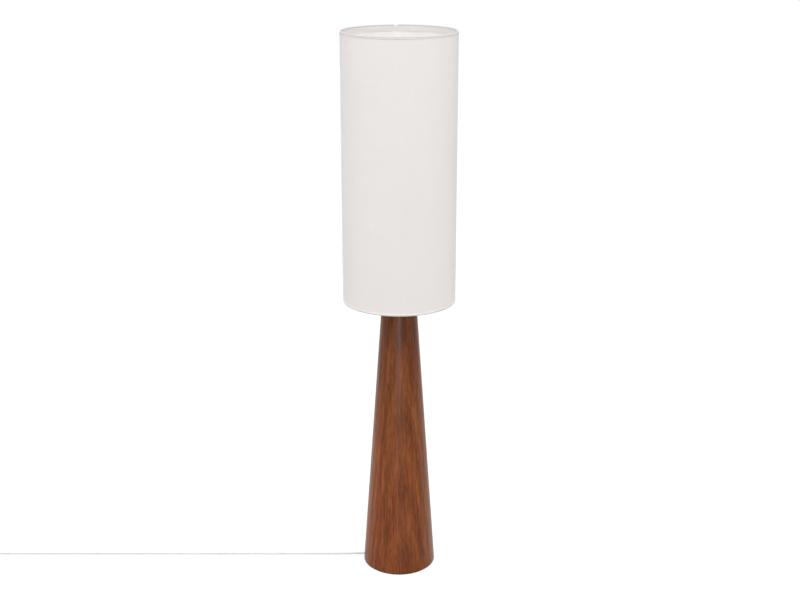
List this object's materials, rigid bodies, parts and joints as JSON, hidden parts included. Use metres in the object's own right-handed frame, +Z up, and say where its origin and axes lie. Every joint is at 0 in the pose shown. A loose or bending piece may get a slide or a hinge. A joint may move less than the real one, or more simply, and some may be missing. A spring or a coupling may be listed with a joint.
{
  "type": "column floor lamp",
  "caption": "Floor lamp with a tall turned wooden cone as its column, a tall straight linen cylinder shade and a corded foot switch.",
  "frame": {"origin": "centre of the foot's underside, on the floor, on the column's axis", "axes": "+Z up along the column, -Y to the front, -X the way the cord leaves the foot"},
  "size_m": [1.3047, 0.2508, 1.235],
  "materials": {
    "walnut": "walnut brown stain, satin",
    "linen": "off-white linen weave, matt",
    "liner": "white, matt",
    "frame_white": "white powder coat",
    "weight": "raw casting",
    "zinc_steel": "zinc plated",
    "cover_black": "black powder coat",
    "felt": "dark pressed felt",
    "holder_black": "black moulding",
    "holder_core": "cream moulding",
    "brass": "plain",
    "bulb_opal": "opal white, satin",
    "bulb_white": "white moulding",
    "bulb_cap": "nickel bright",
    "bulb_black": "black glassy insulator",
    "cord_white": "white flexible sheath, satin",
    "switch_white": "white moulding, satin",
    "switch_grey": "grey moulding",
    "spring_steel": "bright wire",
    "wire_brown": "brown insulation",
    "wire_blue": "blue insulation",
    "wire_pairs": "insulated wires",
    "plug_white": "white moulding",
    "pin_nickel": "nickel plated",
    "pin_grey": "dark sleeves"
  },
  "bodies": {
    "root": {"wooden_column": "walnut", "counterweight": "weight", "through_tube": "zinc_steel", "lower_washer": "zinc_steel", "lower_nut": "zinc_steel", "top_plate": "zinc_steel", "top_nut": "zinc_steel", "cover_screws": "zinc_steel", "holder_grub_screw": "zinc_steel", "terminal_screws": "zinc_steel", "switch_screws": "zinc_steel", "bottom_cover": "cover_black", "felt_pad": "felt", "holder_cap": "holder_black", "holder_skirt": "holder_black", "shade_ring": "holder_black", "holder_core": "holder_core", "screw_shell": "brass", "shell_rivets": "brass", "centre_contact": "brass", "switch_terminals": "brass", "inner_cable": "cord_white", "cord_to_switch": "cord_white", "cord_to_coil": "cord_white", "cord_coil": "cord_white", "cord_to_plug": "cord_white", "cord_bush": "cord_white", "switch_near_boot": "cord_white", "switch_far_boot": "cord_white", "plug_boot": "cord_white", "switch_base": "switch_white", "switch_cover": "switch_white", "switch_block": "switch_grey", "switch_spring": "spring_steel", "live_wire": "wire_brown", "neutral_wire": "wire_blue", "switch_wires": "wire_pairs", "plug_body": "plug_white", "plug_pins": "pin_nickel", "pin_sleeves": "pin_grey"},
    "shade": {"shade_fabric": "linen", "shade_liner": "liner", "top_hem": "linen", "bottom_hem": "linen", "top_hoop": "frame_white", "shade_carrier": "frame_white"},
    "bulb_contact": {"bulb_tip_contact": "bulb_cap"},
    "bulb": {"bulb_glass": "bulb_opal", "bulb_collar": "bulb_white", "bulb_led_board": "bulb_cap", "bulb_screw_cap": "bulb_cap", "bulb_insulator": "bulb_black"},
    "switch_button": {"switch_button": "switch_white"}
  },
  "joints": [
    {"name": "shade_turn", "type": "hinge", "parent": "root", "child": "shade", "pos_m": [0, 0, 0.69], "axis": [0, 0, 1], "continuous": true},
    {"name": "bulb_rise", "type": "slide", "parent": "root", "child": "bulb_contact", "axis": [0, 0, 1], "range_m": [0, 0.0127]},
    {"name": "bulb_turn", "type": "hinge", "parent": "bulb_contact", "child": "bulb", "pos_m": [0, 0, 0.71], "axis": [0, 0, 1], "range_deg": [0, 1260]},
    {"name": "switch_press", "type": "slide", "parent": "root", "child": "switch_button", "axis": [0, 0, -1], "range_m": [0, 0.004], "stiffness_N_per_m": 250, "springref_m": -0.002, "deforming": ["switch_spring"]}
  ],
  "couplings": [
    {"joint": "bulb_rise", "follows": "bulb_turn", "m_per_rad": 0.00057751}
  ]
}
